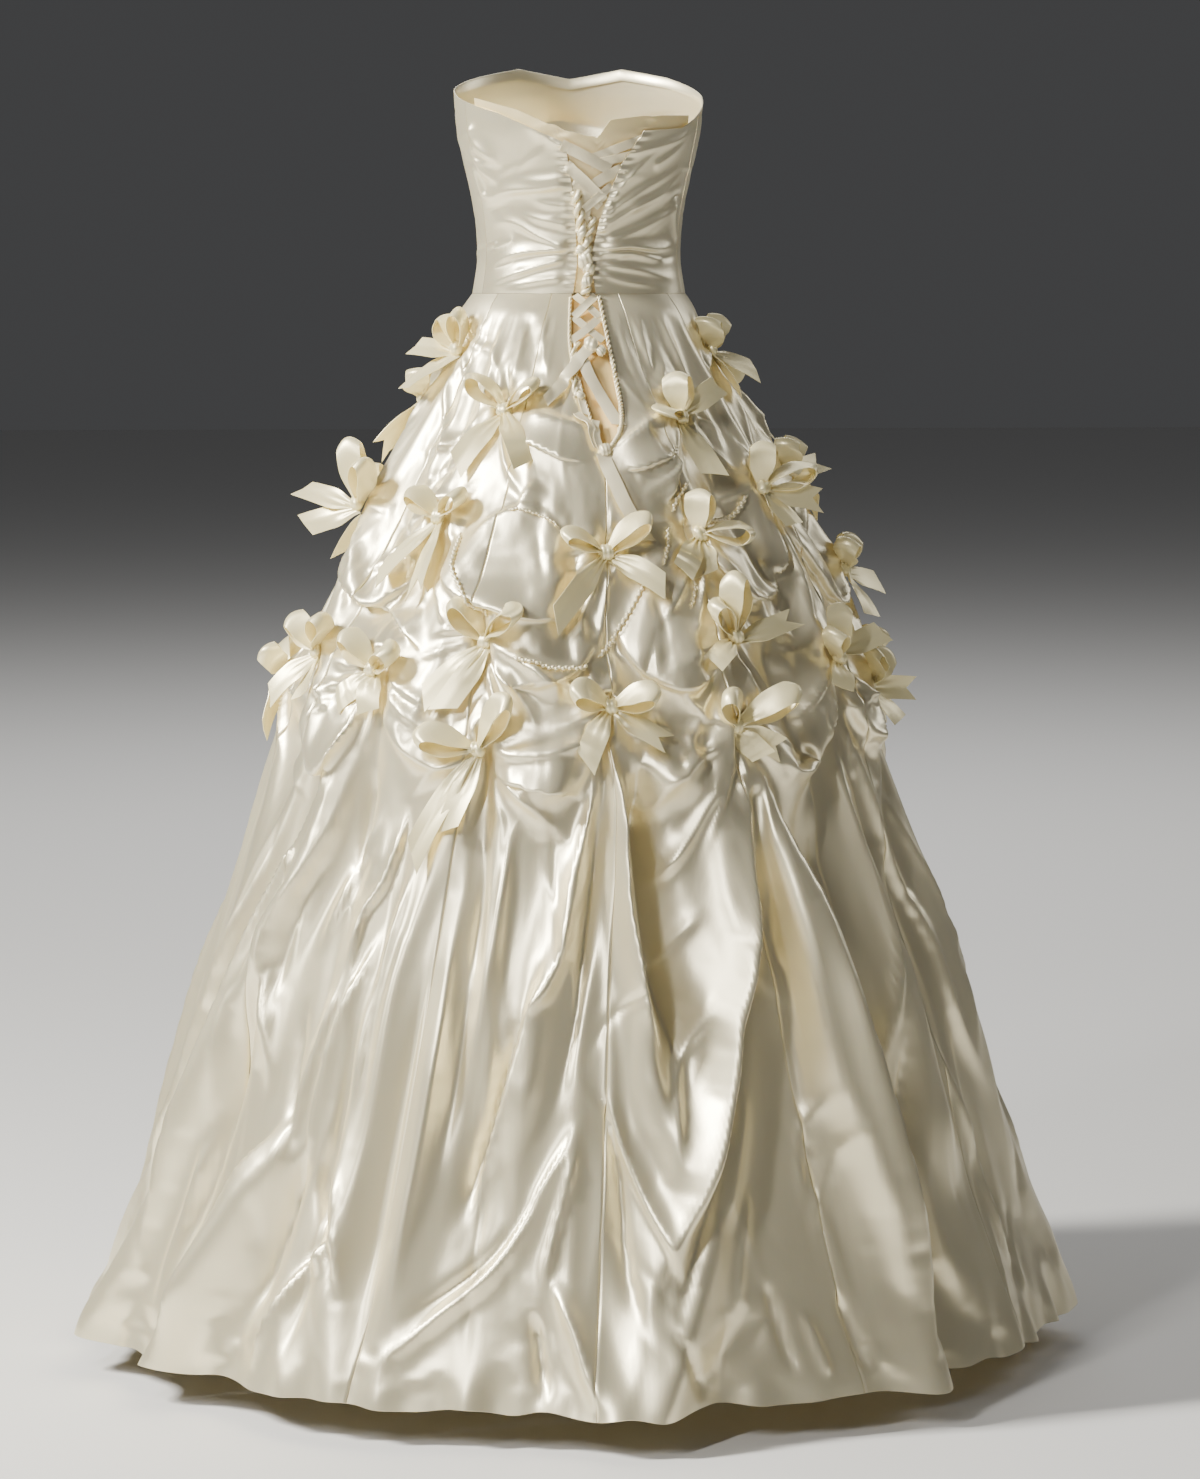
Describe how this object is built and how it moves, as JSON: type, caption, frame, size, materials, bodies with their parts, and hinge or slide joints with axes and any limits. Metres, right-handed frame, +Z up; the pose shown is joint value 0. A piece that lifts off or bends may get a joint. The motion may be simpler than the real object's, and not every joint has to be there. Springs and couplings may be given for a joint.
{
  "type": "ball gown",
  "caption": "Strapless floor-length satin ball gown in its worn shape, with a laced back, a full skirt caught up in swags and small ribbon bows.",
  "frame": {"origin": "middle of the body at the waist seam", "axes": "+Z up, +Y towards the laced back, -Y towards the front, +X towards the wearer's left"},
  "size_m": [1.0508, 1.0123, 1.3117],
  "materials": {
    "satin": "ivory duchess satin with a soft, bright sheen",
    "ribbon": "warm ivory satin ribbon",
    "lacing": "narrow ivory satin lace",
    "lining": "plain ivory lining satin, warmer in the shade"
  },
  "bodies": {
    "root": {"bodice_front": "satin", "bodice_back_left": "satin", "bodice_back_right": "satin", "gore_back_right": "satin", "gore_side_back_right": "satin", "gore_side_right": "satin", "gore_side_front_right": "satin", "gore_front_right": "satin", "gore_front_left": "satin", "gore_side_front_left": "satin", "gore_side_left": "satin", "gore_side_back_left": "satin", "gore_back_left": "satin", "modesty_panel": "lining", "placket_underlay": "lining", "corset_lace": "lacing", "lace_tie_upper": "lacing", "lace_tie_lower": "lacing", "bow_01": "ribbon", "bow_02": "ribbon", "bow_03": "ribbon", "bow_04": "ribbon", "bow_05": "ribbon", "bow_06": "ribbon", "bow_07": "ribbon", "bow_08": "ribbon", "bow_09": "ribbon", "bow_10": "ribbon", "bow_11": "ribbon", "bow_12": "ribbon", "bow_13": "ribbon", "bow_14": "ribbon", "bow_15": "ribbon", "bow_16": "ribbon", "bow_17": "ribbon", "bow_18": "ribbon", "bow_19": "ribbon", "bow_20": "ribbon", "bow_21": "ribbon", "bow_22": "ribbon", "bow_23": "ribbon", "bow_24": "ribbon", "bow_25": "ribbon", "bow_26": "ribbon", "bow_27": "ribbon", "bow_28": "ribbon", "bow_29": "ribbon", "bow_30": "ribbon", "bow_31": "ribbon", "bow_32": "ribbon", "bow_33": "ribbon"}
  },
  "joints": []
}
